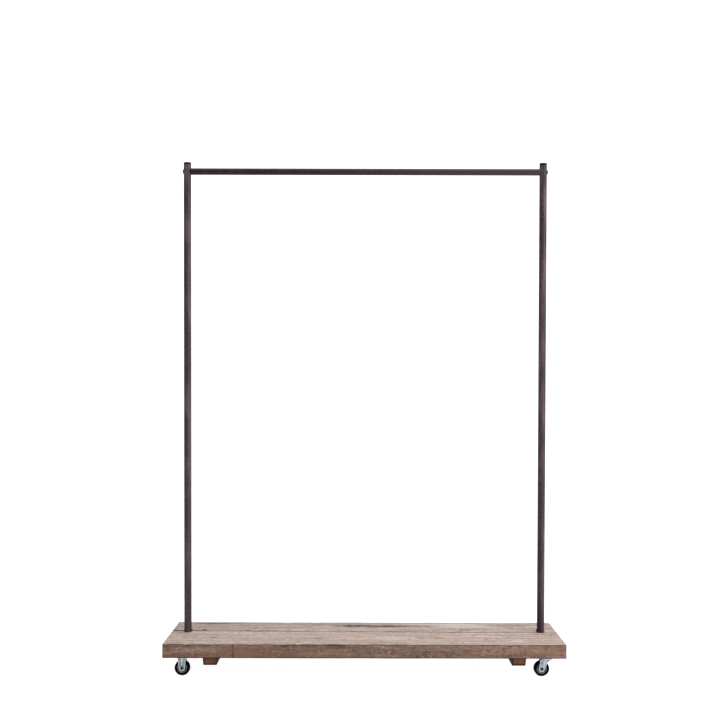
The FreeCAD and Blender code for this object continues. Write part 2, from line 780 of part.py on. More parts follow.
def make_tyre(label):
    """A rubber tread with rounded shoulders on the core's rim."""
    body = new_body(label)
    seat, tread = d.core_diameter / 2, d.wheel_diameter / 2
    side = d.wheel_width / 2
    half = [(seat, side - 1.2), (seat + 0.9, side - 0.3), (seat + 1.8, side)]
    half += [(tread - 3.2, side), (tread - 1.6, side - 0.7), (tread - 0.5, side - 2.1)]
    half += [(tread, side - 4)]
    mirrored = [(radius, -along) for radius, along in reversed(half)]
    turn(body, half + mirrored, "Y")
    return body


def make_caster(name, x, y, swivels):
    if swivels:
        pieces = [make_swivel_plate(name + "_top_plate"), make_race_balls(name + "_race_balls")]
        pieces += [make_fork(name + "_fork"), make_kingpin(name + "_kingpin")]
    else:
        pieces = [make_rigid_bracket(name + "_bracket")]
    for piece in pieces:
        place(piece, x, y)
    axle_x = x - d.trail if swivels else x
    makers = (("axle_rivet", make_axle_rivet), ("axle_sleeve", make_axle_sleeve),
              ("wheel_core", make_wheel_core), ("tyre", make_tyre))
    for piece_name, maker in makers:
        place(maker(f"{name}_{piece_name}"), axle_x, y, axle_z)
    make_square_of_screws(name + "_caster_screws", d.plate_pitch, plate_under,
                          d.screw_bite + d.plate_thick - 1, x, y)


# ---- The whole rack ----

def make_rack():
    make_planks()
    make_rail()
    for name, side in SIDES:
        make_batten(name + "_batten", side)
        make_row_of_screws(name + "_batten_screws", side)
        make_upright(name + "_upright", side)
        make_top_cap(name + "_top_cap", side)
        make_rail_insert(name + "_rail_insert", side)
        make_rail_bolt(name + "_rail_bolt", side)
        make_foot_plate(name + "_foot_plate", side)
        make_foot_spigot(name + "_foot_spigot", side)
        make_lock_screw(name + "_foot_lock_screw", side)
        make_square_of_screws(name + "_foot_plate_screws", d.foot_screw_pitch,
                              d.caster_height - d.foot_plate_thick,
                              d.screw_bite + d.foot_plate_thick - 1,
                              d.tube_spacing / 2 * side, d.tube_offset)
    for name, x, y, swivels in corners():
        make_caster(name, x, y, swivels)


def check_document():
    """Stop before anything is written if the document has a failed or empty object."""
    for item in doc.Objects:
        if "Invalid" in item.State or "Error" in item.State:
            raise RuntimeError(f"{item.Name} failed: {item.State}")
    for piece in subparts:
        if piece.Shape.isNull() or not piece.Shape.isValid():
            raise RuntimeError(f"{piece.Label} has no valid shape")
        if not piece.Shape.Solids:
            raise RuntimeError(f"{piece.Label} has no solid")


make_rack()
doc.recompute()
check_document()
os.makedirs("parts", exist_ok=True)
for piece in subparts:
    piece.Shape.exportStep(f"parts/{piece.Label}.step")
    print(f"{piece.Label}: {len(piece.Shape.Solids)} solid(s), {piece.Shape.Volume:.0f} mm3")
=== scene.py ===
import json
import math

import bmesh
import bpy
from mathutils import Matrix, Vector, noise

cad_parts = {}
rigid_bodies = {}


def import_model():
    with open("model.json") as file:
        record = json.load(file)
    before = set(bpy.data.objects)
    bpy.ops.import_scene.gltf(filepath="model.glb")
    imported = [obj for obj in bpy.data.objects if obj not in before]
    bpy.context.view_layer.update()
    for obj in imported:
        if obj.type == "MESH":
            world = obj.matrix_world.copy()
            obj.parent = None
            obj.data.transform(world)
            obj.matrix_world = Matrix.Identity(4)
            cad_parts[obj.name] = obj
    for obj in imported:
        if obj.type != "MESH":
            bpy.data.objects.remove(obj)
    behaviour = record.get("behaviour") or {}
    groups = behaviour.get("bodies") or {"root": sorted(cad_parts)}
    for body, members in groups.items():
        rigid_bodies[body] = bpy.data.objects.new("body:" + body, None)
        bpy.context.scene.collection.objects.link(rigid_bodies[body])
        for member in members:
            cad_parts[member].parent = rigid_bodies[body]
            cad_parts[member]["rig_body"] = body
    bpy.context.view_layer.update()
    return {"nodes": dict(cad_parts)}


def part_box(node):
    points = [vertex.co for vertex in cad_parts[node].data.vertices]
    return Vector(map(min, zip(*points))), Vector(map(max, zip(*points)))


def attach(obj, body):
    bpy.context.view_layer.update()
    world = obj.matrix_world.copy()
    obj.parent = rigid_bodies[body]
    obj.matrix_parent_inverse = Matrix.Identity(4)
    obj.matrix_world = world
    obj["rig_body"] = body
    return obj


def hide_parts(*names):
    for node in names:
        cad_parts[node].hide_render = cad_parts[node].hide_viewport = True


# The looks of a rolling clothes rack: a worn plank deck on battens and casters, dark tube
# uprights with black caps and a dark hanging rail. Lengths are in metres.

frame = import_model()
nodes = frame["nodes"]

MM = 0.001
CUTTER_PAST = 10 * MM
SIDES = (("left", -1), ("right", 1))
CORNERS = [(f"{end}_{side}", side == "right") for end in ("front", "rear") for side, _ in SIDES]

deck_low = Vector(map(min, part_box("front_plank")[0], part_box("back_plank")[0]))
deck_high = Vector(map(max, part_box("front_plank")[1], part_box("back_plank")[1]))
deck_top = deck_high.z
deck_under = deck_low.z
deck_front = deck_low.y
upright_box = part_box("left_upright")
upright_y = (upright_box[0].y + upright_box[1].y) / 2
upright_radius = (upright_box[1].y - upright_box[0].y) / 2


def middle(node):
    low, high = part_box(node)
    return (low + high) / 2


# ---- Camera, floor and light ----

def make_camera():
    data = bpy.data.cameras.new("camera")
    camera = bpy.data.objects.new("camera", data)
    bpy.context.scene.collection.objects.link(camera)
    camera.location = (-0.0176, -4.0167, 0.9500)
    camera.rotation_euler = (math.radians(90 - 1.35), math.radians(-0.13), 0)
    data.lens = 60.09
    data.sensor_width = 36.0
    data.shift_x = 0.0006
    data.shift_y = 0.0733
    bpy.context.scene.camera = camera


def make_stage():
    """A pale floor that curves up into a pale wall, well behind the rack."""
    half_width, front, wall, height, bend, steps = 14.0, -40.0, 7.0, 9.0, 3.0, 12
    profile = [(front, 0.0), (wall - bend, 0.0)]
    for i in range(1, steps + 1):
        angle = math.radians(90 * i / steps)
        profile.append((wall - bend + bend * math.sin(angle), bend - bend * math.cos(angle)))
    profile.append((wall, height))
    verts = [(x, y, z) for y, z in profile for x in (-half_width, half_width)]
    faces = [(2 * i, 2 * i + 1, 2 * i + 3, 2 * i + 2) for i in range(len(profile) - 1)]
    mesh = bpy.data.meshes.new("floor")
    mesh.from_pydata(verts, [], faces)
    mesh.shade_smooth()
    floor = bpy.data.objects.new("floor", mesh)
    bpy.context.scene.collection.objects.link(floor)
    paint = Shader("floor")
    speck = paint.noise(paint.coords, 3, detail=2)
    glow = paint.mix(speck, (0.93, 0.93, 0.93), (0.97, 0.97, 0.97))
    paint.surface(paint.mix(speck, (0.30, 0.30, 0.30), (0.34, 0.34, 0.34)), 0.9, glow=glow)
    mesh.materials.append(paint.material)


def add_area_light(name, place, aim, size, power, colour=(1, 1, 1)):
    data = bpy.data.lights.new(name, "AREA")
    data.shape = "RECTANGLE"
    data.size, data.size_y = size
    data.energy = power
    data.color = colour
    light = bpy.data.objects.new(name, data)
    light.location = place
    light.rotation_euler = (Vector(aim) - Vector(place)).to_track_quat("-Z", "Y").to_euler()
    bpy.context.scene.collection.objects.link(light)


def make_lights():
    """Soft studio light. The sky is dim on the left, and looks plain white where the camera sees it."""
    world = bpy.data.worlds.new("studio")
    world.use_nodes = True
    tree = world.node_tree
    direction = tree.nodes.new("ShaderNodeTexCoord").outputs["Generated"]
    split = tree.nodes.new("ShaderNodeSeparateXYZ")
    tree.links.new(direction, split.inputs[0])
    ramp = tree.nodes.new("ShaderNodeMapRange")
    tree.links.new(split.outputs[0], ramp.inputs["Value"])
    for name, value in {"From Min": -1, "From Max": 1, "To Min": 0.03, "To Max": 0.46}.items():
        ramp.inputs[name].default_value = value
    backdrop = tree.nodes.new("ShaderNodeMix")
    tree.links.new(tree.nodes.new("ShaderNodeLightPath").outputs["Is Camera Ray"], backdrop.inputs[0])
    tree.links.new(ramp.outputs["Result"], backdrop.inputs[2])
    backdrop.inputs[3].default_value = 1.0
    tree.links.new(backdrop.outputs[0], tree.nodes["Background"].inputs["Strength"])
    tree.nodes["Background"].inputs["Color"].default_value = (1, 1, 1, 1)
    bpy.context.scene.world = world
    add_area_light("overhead", (0.4, -0.6, 4.2), (0, 0, 0), (4.0, 2.6), 126)
    add_area_light("right_window", (3.4, -2.2, 1.9), (0, 0, 0.8), (0.9, 3.2), 125)
    add_area_light("backdrop_wash", (0, 2.2, 4.6), (0, 7.0, 1.6), (8.0, 2.0), 200)
    bpy.context.scene.view_settings.view_transform = "Standard"


# ---- Material helpers ----

class Shader:
    """One node material, built with short calls. Values may be numbers, colours or sockets."""

    def __init__(self, name):
        self.material = bpy.data.materials.new(name)
        self.material.use_nodes = True
        self.tree = self.material.node_tree
        self.tree.nodes.clear()
        source = self.node("ShaderNodeTexCoord")
        self.coords = source.outputs["Object"]
        self.normal = source.outputs["Normal"]

    def node(self, kind, **settings):
        made = self.tree.nodes.new(kind)
        for name, value in settings.items():
            setattr(made, name, value)
        return made

    def feed(self, socket, value):
        if isinstance(value, bpy.types.NodeSocket):
            self.tree.links.new(value, socket)
        elif socket.type == "RGBA":
            socket.default_value = (*value[:3], 1)
        else:
            socket.default_value = value

    def noise(self, vector, scale, detail=3, roughness=0.5, distortion=0):
        made = self.node("ShaderNodeTexNoise")
        sizes = {"Vector": vector, "Scale": scale, "Detail": detail, "Roughness": roughness}
        for name, value in {**sizes, "Distortion": distortion}.items():
            self.feed(made.inputs[name], value)
        return made.outputs["Fac"]

    def cells(self, vector, scale, feature="F1"):
        made = self.node("ShaderNodeTexVoronoi", feature=feature)
        self.feed(made.inputs["Vector"], vector)
        self.feed(made.inputs["Scale"], scale)
        return made.outputs["Distance"]

    def stretch(self, scale, shift=(0, 0, 0)):
        """Object coordinates, scaled a different amount along each axis."""
        made = self.node("ShaderNodeMapping")
        self.feed(made.inputs["Vector"], self.coords)
        self.feed(made.inputs["Scale"], scale)
        self.feed(made.inputs["Location"], shift)
        return made.outputs["Vector"]

    def math(self, operation, first, second=0.0):
        made = self.node("ShaderNodeMath", operation=operation)
        self.feed(made.inputs[0], first)
        self.feed(made.inputs[1], second)
        return made.outputs[0]

    def fade(self, value, low, high, start=0.0, end=1.0):
        """Start below low, end above high, and a smooth change between them."""
        made = self.node("ShaderNodeMapRange", interpolation_type="SMOOTHSTEP")
        limits = {"From Min": low, "From Max": high, "To Min": start, "To Max": end}
        for name, number in {"Value": value, **limits}.items():
            self.feed(made.inputs[name], number)
        return made.outputs["Result"]

    def mix(self, share, first, second, blend="MIX"):
        made = self.node("ShaderNodeMix", data_type="RGBA", blend_type=blend)
        self.feed(made.inputs[0], share)
        self.feed(made.inputs[6], first)
        self.feed(made.inputs[7], second)
        return made.outputs[2]

    def axes(self, vector):
        made = self.node("ShaderNodeSeparateXYZ")
        self.feed(made.inputs[0], vector)
        return made.outputs[0], made.outputs[1], made.outputs[2]

    def bump(self, height, depth, strength=1.0, below=None):
        made = self.node("ShaderNodeBump")
        self.feed(made.inputs["Height"], height)
        self.feed(made.inputs["Distance"], depth)
        self.feed(made.inputs["Strength"], strength)
        if below is not None:
            self.feed(made.inputs["Normal"], below)
        return made.outputs["Normal"]

    def surface(self, colour, roughness=0.5, metallic=0.0, normal=None, specular=0.5, glow=None):
        made = self.node("ShaderNodeBsdfPrincipled")
        self.feed(made.inputs["Base Color"], colour)
        self.feed(made.inputs["Roughness"], roughness)
        self.feed(made.inputs["Metallic"], metallic)
        self.feed(made.inputs["Specular IOR Level"], specular)
        if normal is not None:
            self.feed(made.inputs["Normal"], normal)
        if glow is not None:
            self.feed(made.inputs["Emission Color"], glow)
            made.inputs["Emission Strength"].default_value = 1.0
        out = self.node("ShaderNodeOutputMaterial")
        self.tree.links.new(made.outputs["BSDF"], out.inputs["Surface"])
        return self.material


# ---- Wood ----

# Stains on the deck's surfaces: middle, half sizes, colour, strength.
DECK_MARKS = [
    ((-0.420, 0.110, deck_top), (0.300, 0.075, 0.010), (0.24, 0.18, 0.155), 0.40),
    ((0.330, 0.125, deck_top), (0.110, 0.035, 0.010), (0.60, 0.55, 0.52), 0.45),
    ((0.250, 0.042, deck_top), (0.014, 0.009, 0.010), (0.16, 0.11, 0.09), 0.50),
    ((0.345, 0.046, deck_top), (0.018, 0.008, 0.010), (0.13, 0.09, 0.07), 0.55),
    ((-0.035, -0.049, deck_top), (0.034, 0.022, 0.010), (0.42, 0.22, 0.15), 0.45),
    ((-0.530, 0.150, deck_top), (0.085, 0.010, 0.010), (0.10, 0.065, 0.055), 0.75),
    ((-0.040, 0.117, deck_top), (0.060, 0.017, 0.010), (0.05, 0.032, 0.028), 0.92),
    ((0.080, 0.114, deck_top), (0.120, 0.014, 0.010), (0.07, 0.043, 0.035), 0.88),
    ((-0.543, 0.043, deck_top), (0.010, 0.010, 0.010), (0.03, 0.015, 0.012), 0.95),
    ((-0.393, 0.035, deck_top), (0.009, 0.009, 0.010), (0.10, 0.06, 0.05), 0.70),
    ((-0.369, 0.074, deck_top), (0.013, 0.012, 0.010), (0.14, 0.10, 0.08), 0.50),
    ((-0.197, 0.044, deck_top), (0.010, 0.010, 0.010), (0.15, 0.11, 0.09), 0.45),
    ((-0.262, 0.059, deck_top), (0.010, 0.010, 0.010), (0.17, 0.13, 0.11), 0.45),
    ((-0.114, -0.029, deck_top), (0.006, 0.010, 0.010), (0.14, 0.09, 0.07), 0.50),
    ((-0.152, -0.090, deck_top), (0.006, 0.012, 0.010), (0.16, 0.11, 0.09), 0.50),
    ((-0.265, -0.110, deck_top), (0.006, 0.010, 0.010), (0.18, 0.12, 0.10), 0.50),
    ((-0.215, -0.136, deck_top), (0.008, 0.012, 0.010), (0.18, 0.13, 0.11), 0.45),
    ((0.500, -0.122, deck_top), (0.020, 0.014, 0.010), (0.62, 0.56, 0.54), 0.45),
    ((0.404, -0.023, deck_top), (0.060, 0.010, 0.010), (0.26, 0.19, 0.16), 0.50),
    ((-0.423, deck_front, 0.092), (0.0022, 0.01, 0.030), (0.11, 0.035, 0.025), 0.60),
    ((-0.423, deck_front, 0.110), (0.0024, 0.01, 0.004), (0.05, 0.012, 0.010), 0.90),
    ((-0.423, deck_front, 0.087), (0.0024, 0.01, 0.003), (0.04, 0.010, 0.008), 0.90),
    ((-0.423, deck_front, 0.074), (0.0028, 0.01, 0.006), (0.03, 0.008, 0.006), 0.95),
    ((0.090, deck_front, 0.093), (0.0030, 0.01, 0.013), (0.13, 0.055, 0.045), 0.50),
    ((-0.256, deck_front, deck_top - 0.007), (0.010, 0.01, 0.0035), (0.055, 0.025, 0.02), 0.80),
    ((-0.158, deck_front, deck_top - 0.005), (0.040, 0.01, 0.004), (0.10, 0.045, 0.035), 0.65),
    ((-0.094, deck_front, deck_top - 0.004), (0.030, 0.01, 0.004), (0.09, 0.035, 0.03), 0.80),
    ((0.020, deck_front, deck_top - 0.010), (0.022, 0.01, 0.004), (0.20, 0.115, 0.045), 0.60),
    ((0.110, deck_front, deck_top - 0.006), (0.030, 0.01, 0.005), (0.12, 0.06, 0.03), 0.60),
    ((0.172, deck_front, deck_under), (0.005, 0.01, 0.006), (0.015, 0.01, 0.01), 0.95),
]


def joint_ends():
    """Y of the slanting joint between the planks, at the deck's left and right ends."""
    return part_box("front_plank")[1].y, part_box("back_plank")[0].y


def add_marks(paint, colour, marks, ragged):
    """Soft-edged stains at given places, broken up by a ragged noise."""
    for centre, half, stain, strength in marks:
        scale = [1 / size for size in half]
        shift = [-place * factor for place, factor in zip(centre, scale)]
        length = paint.node("ShaderNodeVectorMath", operation="LENGTH")
        paint.feed(length.inputs[0], paint.stretch(scale, shift))
        reach = paint.math("ADD", length.outputs["Value"], ragged)
        share = paint.fade(reach, 0.55, 1.35, strength, 0.0)
        colour = paint.mix(share, colour, stain)
    return colour


def wood_material(name, look, deck=True):
    """Old sawn wood: rings about a pith line, fibres, blotches, specks and a greyed top."""
    paint = Shader(name)
    x, y, z = paint.axes(paint.coords)
    facing_x, facing_y, facing_z = paint.axes(paint.normal)
    slow, quick = look["grain"]
    side_step = y if deck else x

    def grained(along, across, detail, roughness, extra=0.0):
        scale = [along * slow[i] + across * quick[i] for i in range(3)]
        shift = [value + extra for value in look["seed"]]
        return paint.noise(paint.stretch(scale, shift), 1.0, detail=detail, roughness=roughness)

    drift = grained(1.6, 6, 2, 0.5)
    across = paint.math("SUBTRACT", side_step, look["pith"][0])
    across = paint.math("ADD", across, paint.math("MULTIPLY", drift, 0.05))
    up = paint.math("SUBTRACT", z, look["pith"][1])
    squares = paint.math("ADD", paint.math("MULTIPLY", across, across), paint.math("MULTIPLY", up, up))
    rings = paint.math("SINE", paint.math("MULTIPLY", paint.math("SQRT", squares), math.tau / look["ring"]))
    rings = paint.fade(rings, -0.2, 1.0)
    fibres = grained(11, 420, 4, 0.6)
    streaks = grained(3.4, 52, 5, 0.66)
    blotches = grained(30, 62, 5, 0.72, 3.0)
    specks = grained(95, 190, 3, 0.6, 6.0)
    patches = grained(3.1, 8, 3, 0.55)
    top = paint.mix(paint.fade(streaks, 0.34, 0.66), look["top_dark"], look["top_light"])
    top = paint.mix(paint.fade(blotches, 0.52, 0.30, 0.0, 0.85), top, look["top_spot"])
    top = paint.mix(paint.fade(patches, 0.42, 0.68, 0.0, 0.5), top, look["top_grey"])
    top = paint.mix(paint.fade(specks, 0.45, 0.30, 0.0, 0.9), top, look["side_dark"])
    top = paint.mix(paint.fade(specks, 0.53, 0.68, 0.0, 0.75), top, look["top_light"])
    side = paint.mix(paint.fade(streaks, 0.34, 0.66), look["side_dark"], look["side_light"])
    side = paint.mix(paint.fade(blotches, 0.53, 0.30, 0.0, 0.8), side, look["side_spot"])
    side = paint.mix(paint.fade(specks, 0.44, 0.28, 0.0, 0.6), side, look["side_spot"])
    side = paint.mix(paint.fade(specks, 0.56, 0.72, 0.0, 0.5), side, look["top_grey"])
    side = paint.mix(paint.fade(patches, 0.45, 0.65, 0.0, 0.5), side, look["side_red"])
    saw = paint.noise(paint.stretch((330, 60, 26), look["seed"]), 1.0, detail=4, roughness=0.6)
    side = paint.mix(paint.fade(saw, 0.50, 0.72, 0.0, 0.55), side, look["side_light"])
    side = paint.mix(paint.fade(saw, 0.46, 0.30, 0.0, 0.30), side, look["side_spot"])
    end = paint.mix(0.5, side, paint.mix(rings, look["side_dark"], look["side_spot"]))
    upward = paint.fade(facing_z, 0.35, 0.85)
    endways = paint.fade(paint.math("ABSOLUTE", facing_x if deck else facing_y), 0.5, 0.85)
    colour = paint.mix(upward, side, top)
    colour = paint.mix(endways, colour, end)
    grain = paint.math("MULTIPLY", paint.fade(fibres, 0.56, 0.34), 0.38)
    colour = paint.mix(grain, colour, look["side_dark"])
    colour = paint.mix(paint.math("MULTIPLY", rings, 0.10), colour, look["side_light"])
    ragged = paint.fade(blotches, 0.3, 0.7, -0.45, 0.45)
    if deck:
        colour = deck_edges(paint, colour, look, (x, y, z), ragged)
        colour = add_marks(paint, colour, DECK_MARKS, ragged)
    else:
        colour = batten_edges(paint, colour, facing_x, (x, z), ragged)
    relief = paint.math("ADD", paint.math("MULTIPLY", fibres, 0.5), paint.math("MULTIPLY", rings, 0.2))
    relief = paint.math("ADD", relief, paint.math("MULTIPLY", blotches, 0.8))
    relief = paint.math("ADD", relief, paint.math("MULTIPLY", saw, 0.25))
    normal = paint.bump(relief, 1.0 * MM, 0.8)
    roughness = paint.fade(patches, 0.3, 0.7, 0.72, 0.92)
    return paint.surface(colour, roughness, normal=normal, specular=0.2)


def deck_edges(paint, colour, look, place, ragged):
    """The pale rubbed top edge, a painted shadow under it, painted shade along the foot and the joint
    darkened by dirt and painted shade.
    """
    x, y, z = place
    fringe = paint.math("MULTIPLY", ragged, 5 * MM)
    below = paint.math("ADD", paint.math("SUBTRACT", deck_top, z), fringe)
    face = paint.math("LESS_THAN", y, deck_front + 4 * MM)
    # Painted shadow: a dark band just under the front face's top arris.
    grime_and_shadow = paint.math("MULTIPLY", paint.fade(below, 8 * MM, 2.5 * MM, 0.0, 0.55), face)
    colour = paint.mix(grime_and_shadow, colour, look["side_spot"])
    rubbed = paint.math("MULTIPLY", paint.fade(below, 0.9 * MM, 0.2 * MM, 0.0, 0.6), face)
    colour = paint.mix(rubbed, colour, look["top_light"])
    above = paint.math("ADD", paint.math("SUBTRACT", z, deck_under), paint.math("MULTIPLY", fringe, 0.4))
    colour = paint.mix(paint.fade(above, 8 * MM, 3 * MM, 0.0, 0.35), colour, FOOT_RED)
    # Painted shade: a dark band along the bottom edge of each face.
    colour = paint.mix(paint.fade(above, 5.2 * MM, 2.6 * MM, 0.0, 0.85), colour, FOOT_SHADE)
    # The slanting joint is darkened by dirt together with painted shade for its worn groove, most at the
    # left end.
    left, right = joint_ends()
    slope = (right - left) / (deck_high.x - deck_low.x)
    line = paint.math("ADD", paint.math("MULTIPLY", x, slope), (left + right) / 2)
    off = paint.math("ABSOLUTE", paint.math("SUBTRACT", y, line))
    off = paint.math("ADD", off, fringe)
    depth = paint.fade(x, -0.56, -0.50, 0.95, 0.60)
    reach = paint.fade(x, -0.58, -0.50, 16 * MM, 7 * MM)
    share = paint.math("MULTIPLY", paint.fade(off, reach, 1.0 * MM), depth)
    return paint.mix(share, colour, JOINT_DIRT_AND_SHADE)


def batten_edges(paint, colour, facing_x, place, ragged):
    """Painted shade: darkened sides, edges away from the middle and foot."""
    x, z = place
    fringe = paint.math("MULTIPLY", ragged, 3 * MM)
    foot = paint.math("ADD", paint.math("SUBTRACT", z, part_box("left_batten")[0].z), fringe)
    off = paint.math("SUBTRACT", paint.math("ABSOLUTE", x), middle("right_batten").x)
    off = paint.math("ADD", paint.math("ABSOLUTE", off), fringe)
    turned = paint.math("ABSOLUTE", facing_x)
    # Painted shade on the sides and edges, then along the foot.
    colour = paint.mix(paint.fade(off, 14 * MM, 21 * MM, 0.0, 0.94), colour, BATTEN_SHADE)
    colour = paint.mix(paint.fade(turned, 0.3, 0.9, 0.0, 0.75), colour, BATTEN_SHADE)
    return paint.mix(paint.fade(foot, 10 * MM, 4 * MM, 0.0, 0.94), colour, BATTEN_SHADE)


# The deck foot's reddish band and painted shade, the joint's dirt and painted shade, and the battens'
# painted shade.
FOOT_RED, FOOT_SHADE = (0.26, 0.12, 0.09), (0.045, 0.022, 0.018)
JOINT_DIRT_AND_SHADE = (0.07, 0.036, 0.030)
BATTEN_SHADE = (0.030, 0.013, 0.008)
# The grain's slow axis, and the axes that it changes quickly along.
ALONG_X = ((1, 0, 0), (0, 1, 1))
ALONG_Y = ((0, 1, 0), (1, 0, 1))
FRONT_LOOK = {
    "seed": (0.3, 1.7, 4.1), "pith": (-0.10, -0.12), "ring": 6.5 * MM, "grain": ALONG_X,
    "top_light": (0.577, 0.470, 0.414), "top_dark": (0.326, 0.242, 0.203),
    "top_spot": (0.177, 0.116, 0.091), "top_grey": (0.484, 0.409, 0.377),
    "side_light": (0.266, 0.168, 0.122), "side_dark": (0.111, 0.065, 0.047),
    "side_spot": (0.069, 0.038, 0.028), "side_red": (0.239, 0.133, 0.090),
}
BACK_LOOK = {
    **FRONT_LOOK, "seed": (5.3, 0.4, 2.2), "pith": (0.20, -0.08),
    "top_light": (0.539, 0.451, 0.405), "top_dark": (0.270, 0.200, 0.169),
    "top_spot": (0.140, 0.093, 0.074), "top_grey": (0.437, 0.386, 0.367),
}
# The battens' browns are their own colour darkened by painted shade, for the shade under the deck.
BATTEN_LOOK = {
    **FRONT_LOOK, "seed": (2.2, 3.9, 0.6), "pith": (0.0, -0.02), "grain": ALONG_Y, "ring": 4.5 * MM,
    "top_light": (0.20, 0.10, 0.05), "top_dark": (0.10, 0.05, 0.03), "top_spot": (0.06, 0.03, 0.02),
    "top_grey": (0.22, 0.115, 0.06),
    "side_light": (0.29, 0.125, 0.052), "side_dark": (0.120, 0.048, 0.021),
    "side_spot": (0.09, 0.038, 0.018), "side_red": (0.29, 0.13, 0.060),
}


def spaced(low, high, step):
    """Grid lines from low to high: close together near both ends, then at the step."""
    near = [0, 0.6, 1.3, 2.2, 3.3, 4.7, 6.4, 8.6]
    edge = [offset * MM for offset in near]
    inner = high - low - 2 * edge[-1]
    count = max(1, round(inner / step))
    lines = [low + offset for offset in edge]
    lines += [low + edge[-1] + inner * i / count for i in range(1, count)]
    return lines + [high - offset for offset in reversed(edge)]


def lattice_shell(low, high, steps):
    """The outer skin of a block as a mesh, with shared points along its edges."""
    lines = [spaced(low[i], high[i], steps[i]) for i in range(3)]
    last = [len(line) - 1 for line in lines]
    shell = bmesh.new()
    made = {}

    def point(index):
        if index not in made:
            made[index] = shell.verts.new([lines[i][index[i]] for i in range(3)])
        return made[index]

    for axis in range(3):
        first, second = [i for i in range(3) if i != axis]
        for side in (0, last[axis]):
            for i in range(last[first]):
                for j in range(last[second]):
                    ring = []
                    for di, dj in ((0, 0), (1, 0), (1, 1), (0, 1)):
                        index = [0, 0, 0]
                        index[axis], index[first], index[second] = side, i + di, j + dj
                        ring.append(point(tuple(index)))
                    shell.faces.new(ring)
    bmesh.ops.recalc_face_normals(shell, faces=shell.faces)
    return shell


def wear(shell, low, high, seed, edge, dents):
    """Round a block's edges unevenly, as handling does, and hollow its faces a little."""
    offset = Vector(seed)
    for vert in shell.verts:
        p = vert.co.copy()
        swell = noise.noise(p * 9 + offset) + 0.6 * noise.noise(p * 31 + offset)
        chips = max(0.0, noise.noise(p * 22 - offset) - 0.35)
        height = (p.z - low.z) / (high.z - low.z)
        radius = edge * (0.55 + 0.6 * height) * (1 + 0.55 * swell) + 9 * MM * chips
        radius = min(max(radius, 0.7 * MM), 8 * MM)
        core = Vector(min(max(p[i], low[i] + radius), high[i] - radius) for i in range(3))
        away = (p - core).normalized()
        slow = 0.5 + 0.5 * noise.noise(p * 5 + offset * 2)
        fast = 0.5 + 0.5 * noise.noise(Vector((p.x * 14, p.y * 60, p.z * 60)) + offset)
        vert.co = core + away * (radius - dents * (0.75 * slow + 0.25 * fast))


def finish_mesh(shell, name, material, smooth_angle=40):
    mesh = bpy.data.meshes.new(name)
    shell.to_mesh(mesh)
    shell.free()
    mesh.materials.append(material)
    mesh.shade_smooth()
    mesh.set_sharp_from_angle(angle=math.radians(smooth_angle))
    piece = bpy.data.objects.new(name, mesh)
    bpy.context.scene.collection.objects.link(piece)
    return piece


def stand_for(piece, node):
    """The piece takes a CAD node's place and body."""
    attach(piece, nodes[node]["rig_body"])
    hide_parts(node)


def carve(piece, cutters):
    """Cut closed shapes out of a piece."""
    tools = bmesh.new()
    for cutter in cutters:
        copy = bpy.data.meshes.new("cutter")
        cutter.to_mesh(copy)
        cutter.free()
        tools.from_mesh(copy)
        bpy.data.meshes.remove(copy)
    mesh = bpy.data.meshes.new("cutters")
    tools.to_mesh(mesh)
    tools.free()
    tool = bpy.data.objects.new("cutters", mesh)
    bpy.context.scene.collection.objects.link(tool)
    cut = piece.modifiers.new("cut", "BOOLEAN")
    cut.operation = "DIFFERENCE"
    cut.solver = "EXACT"
    cut.use_self = True
    cut.object = tool
    apply_modifiers(piece)
    bpy.data.objects.remove(tool)
    bpy.data.meshes.remove(mesh)


def apply_modifiers(piece):
    graph = bpy.context.evaluated_depsgraph_get()
    result = bpy.data.meshes.new_from_object(piece.evaluated_get(graph))
    result.name = piece.name
    piece.modifiers.clear()
    old = piece.data
    piece.data = result
    bpy.data.meshes.remove(old)


def cylinder_cutter(centre, radius, low, high, sides=48):
    shape = bmesh.new()
    place = Matrix.Translation((centre[0], centre[1], (low + high) / 2))
    bmesh.ops.create_cone(shape, cap_ends=True, segments=sides, radius1=radius, radius2=radius,
                          depth=high - low, matrix=place)
    return shape


def crack_cutter(start, end, width, depth, up, seed):
    """A closed wedge along a wandering line: widest in the middle, and pointed at both ends."""
    start, end, up = Vector(start), Vector(end), Vector(up)
    along = (end - start).normalized()
    across = along.cross(up).normalized()
    count = max(6, round((end - start).length / (6 * MM)))
    shape = bmesh.new()
    rings = []
    for i in range(count + 1):
        share = i / count
        taper = math.sin(math.pi * share) ** 0.7 + 0.02
        jitter = noise.noise(Vector((share * 9, seed, 0)))
        wide = width * taper * (1 + 0.6 * jitter) / 2
        centre = start.lerp(end, share) + across * (width * 1.8 * jitter)
        above = up * 1.5 * MM
        bottom = centre - up * depth * taper
        rings.append([shape.verts.new(v) for v in
                      (centre - across * wide + above, centre + across * wide + above, bottom)])
    for near, far in zip(rings, rings[1:]):
        for i in range(3):
            j = (i + 1) % 3
            shape.faces.new((near[i], near[j], far[j], far[i]))
    shape.faces.new(rings[0])
    shape.faces.new(reversed(rings[-1]))
    bmesh.ops.recalc_face_normals(shape, faces=shape.faces)
    return shape


UP, FRONT, BACK, LEFT, RIGHT = (0, 0, 1), (0, -1, 0), (0, 1, 0), (-1, 0, 0), (1, 0, 0)

